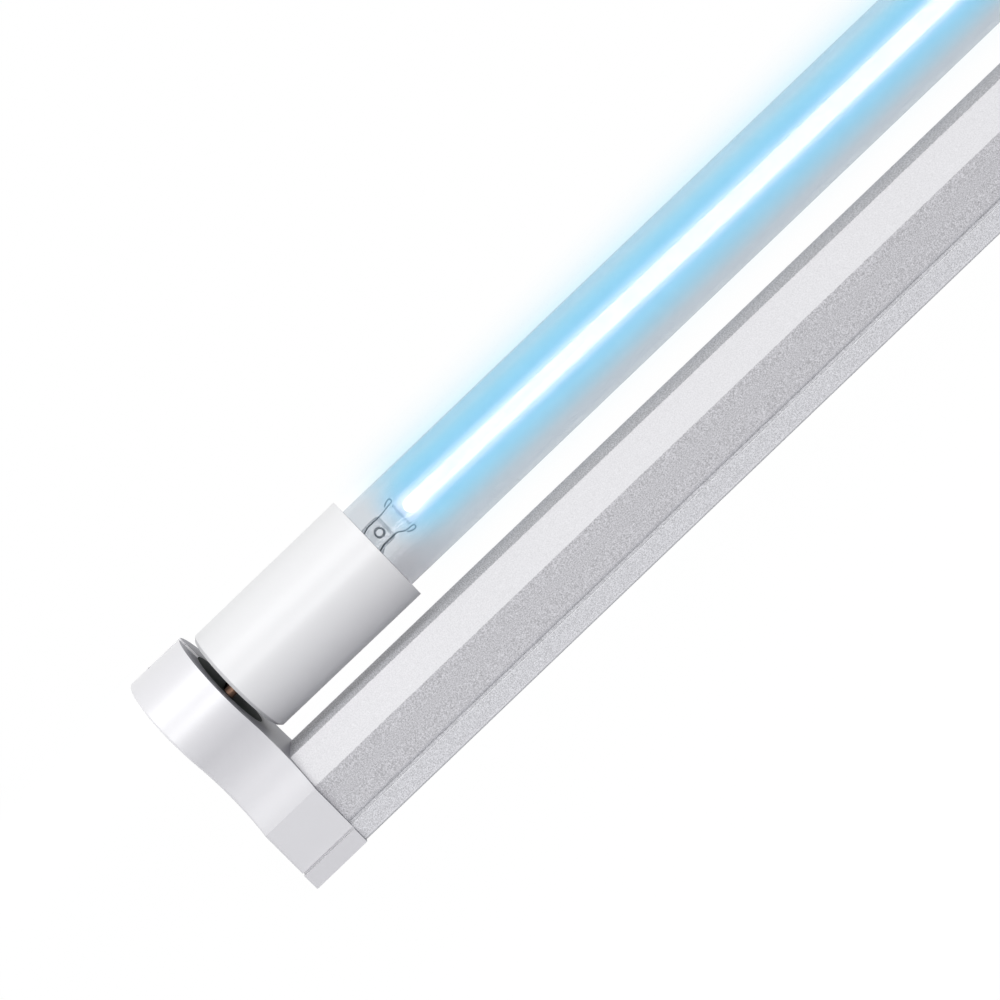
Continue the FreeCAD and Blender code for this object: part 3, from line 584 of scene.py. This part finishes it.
def vent_rings(side, mouth_x, axis_z, material):
    """Dark rings of painted shade at the rims of the round vent through the flat press of the stem."""
    outward = -1 if side == "left" else 1
    for name, y in (("front", -VENT_RIM_OUT), ("back", VENT_RIM_OUT)):
        place = (outward * (mouth_x - VENT_DEPTH), y, axis_z + VENT_LIFT)
        bpy.ops.mesh.primitive_torus_add(
            location=place, rotation=(math.pi / 2, 0, 0),
            major_radius=VENT_RADIUS, minor_radius=VENT_RIM,
            major_segments=VENT_SEGMENTS, minor_segments=VENT_RIM_SEGMENTS)
        ring = bpy.context.object
        ring.name = f"{side}_vent_rim_{name}"
        ring.data.materials.append(material)
        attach(ring, "lamp")


def make_materials(tube_radius, axis_z, mouth_x):
    """A material for each slot of the record and for the vents' rims, by name."""
    materials = {
        "sheet_paint": sandy_paint("sheet_paint", COVER_PAINTED_SHADING),
        "tray_paint": sandy_paint("tray_paint", TRAY_PAINTED_SHADING),
        "cap_plastic": cap_plastic(),
        "quartz": tube_glass(tube_radius, axis_z, mouth_x),
        "stem_glass": stem_glass(),
    }
    for name, look in EVEN_LOOKS.items():
        materials[name] = even_material(name, *look)
    return materials


def dress_nodes(frame, materials):
    """Give each CAD node the material of its slot."""
    for part in frame["record"]["subparts"]:
        node = frame["nodes"][part["node"]]
        node.data.materials.clear()
        node.data.materials.append(materials[part["material_slot"]])


def seen_directly(tree):
    """Socket: 1 for what the camera sees, straight, in shine or through glass, and 0 for all else."""
    path = add_node(tree, "LightPath")
    seen = path.outputs["Is Camera Ray"]
    for name in ("Is Glossy Ray", "Is Transmission Ray"):
        seen = calculate(tree, "MAXIMUM", seen, path.outputs[name])
    return seen


def white_world():
    """Even light from all round, which the camera sees as plain white."""
    world = bpy.data.worlds.new("studio")
    world.use_nodes = True
    tree = world.node_tree
    tree.nodes.clear()
    ambient = add_node(tree, "Background", {"Color": AMBIENT_COLOR, "Strength": AMBIENT})
    white = add_node(tree, "Background", {"Color": WHITE})
    seen = mix_shaders(tree, seen_directly(tree), ambient.outputs[0], white.outputs[0])
    add_node(tree, "OutputWorld", {"Surface": seen})
    bpy.context.scene.world = world


def floor():
    """Pale floor just under the object; it shows white, with the object's soft shadow."""
    bpy.ops.mesh.primitive_plane_add(size=FLOOR_SIZE, location=(0, 0, -FLOOR_DROP))
    plane = bpy.context.object
    plane.name = "floor"
    material, tree = new_material("floor")
    distance = calculate_vector(tree, "LENGTH", object_place(tree))
    strength = ranged(tree, distance, *FLOOR_RUN, *FLOOR_GLOW)
    white = add_node(tree, "Emission", {"Strength": strength})
    pale = add_node(tree, "BsdfDiffuse", {"Color": FLOOR_PALE})
    seen_pale = add_node(tree, "BsdfDiffuse", {"Color": FLOOR_SEEN_PALE})
    seen = add_node(tree, "AddShader", {0: seen_pale.outputs[0], 1: white.outputs[0]})
    show(tree, mix_shaders(tree, seen_directly(tree), pale.outputs[0], seen.outputs[0]))
    plane.data.materials.append(material)


def soft_boxes(centre):
    """A high key and a low fill in front, and duller boxes behind and past both ends."""
    for name, (offset, size, power, mirrored) in SOFT_BOXES.items():
        light = bpy.data.lights.new(name, "AREA")
        light.shape = "RECTANGLE"
        light.size, light.size_y = size
        light.energy = power
        box = link(bpy.data.objects.new(name, light))
        box.visible_camera = False
        box.visible_glossy = mirrored
        box.location = Vector((centre.x, 0, 0)) + Vector(offset)
        box.rotation_euler = (centre - box.location).to_track_quat("-Z", "Y").to_euler()


def camera(aim):
    """The photograph's camera: a nearly level side view, rolled so that the lamp climbs rightwards."""
    tilt = math.radians(CAMERA_ELEVATION)
    roll = math.radians(CAMERA_ROLL)
    data = bpy.data.cameras.new("camera")
    data.lens = CAMERA_LENS
    data.clip_start = CAMERA_CLIP
    data.shift_x, data.shift_y = CAMERA_SHIFT
    eye = link(bpy.data.objects.new("camera", data))
    turn = Matrix.Rotation(math.pi / 2 - tilt, 4, "X") @ Matrix.Rotation(roll, 4, "Z")
    place = aim + Vector((0, -math.cos(tilt), math.sin(tilt))) * CAMERA_DISTANCE
    eye.matrix_world = Matrix.Translation(place) @ turn
    bpy.context.scene.camera = eye


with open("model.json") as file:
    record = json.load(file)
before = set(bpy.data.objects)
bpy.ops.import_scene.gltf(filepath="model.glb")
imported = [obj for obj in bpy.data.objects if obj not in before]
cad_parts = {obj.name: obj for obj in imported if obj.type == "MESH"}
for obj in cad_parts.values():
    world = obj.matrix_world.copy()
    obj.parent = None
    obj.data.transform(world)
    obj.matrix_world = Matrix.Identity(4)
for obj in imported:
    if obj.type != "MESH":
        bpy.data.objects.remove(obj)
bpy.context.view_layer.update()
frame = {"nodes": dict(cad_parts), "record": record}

tube_low, tube_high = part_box("quartz_tube")
tube_radius = (tube_high.z - tube_low.z) / 2
axis_z = (tube_low.z + tube_high.z) / 2
mouth_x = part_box("right_ferrule")[0].x
materials = make_materials(tube_radius, axis_z, mouth_x)
dress_nodes(frame, materials)

discharge(mouth_x, axis_z)
painted_glow_haze(mouth_x, axis_z, tube_radius)
for side in ("left", "right"):
    filament_coil(side, materials["tungsten"])
    vent_rings(side, mouth_x, axis_z, materials["vent_painted_shade"])

cap_face_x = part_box("left_end_cap")[1].x
camera(Vector((cap_face_x + AIM_FROM_CAP, 0, AIM_HEIGHT)))
soft_boxes(Vector((cap_face_x + LIGHT_AIM_FROM_CAP, 0, axis_z)))
white_world()
floor()
bpy.context.scene.cycles.transparent_max_bounces = TRANSPARENT_BOUNCES
bpy.context.scene.view_settings.view_transform = "Standard"
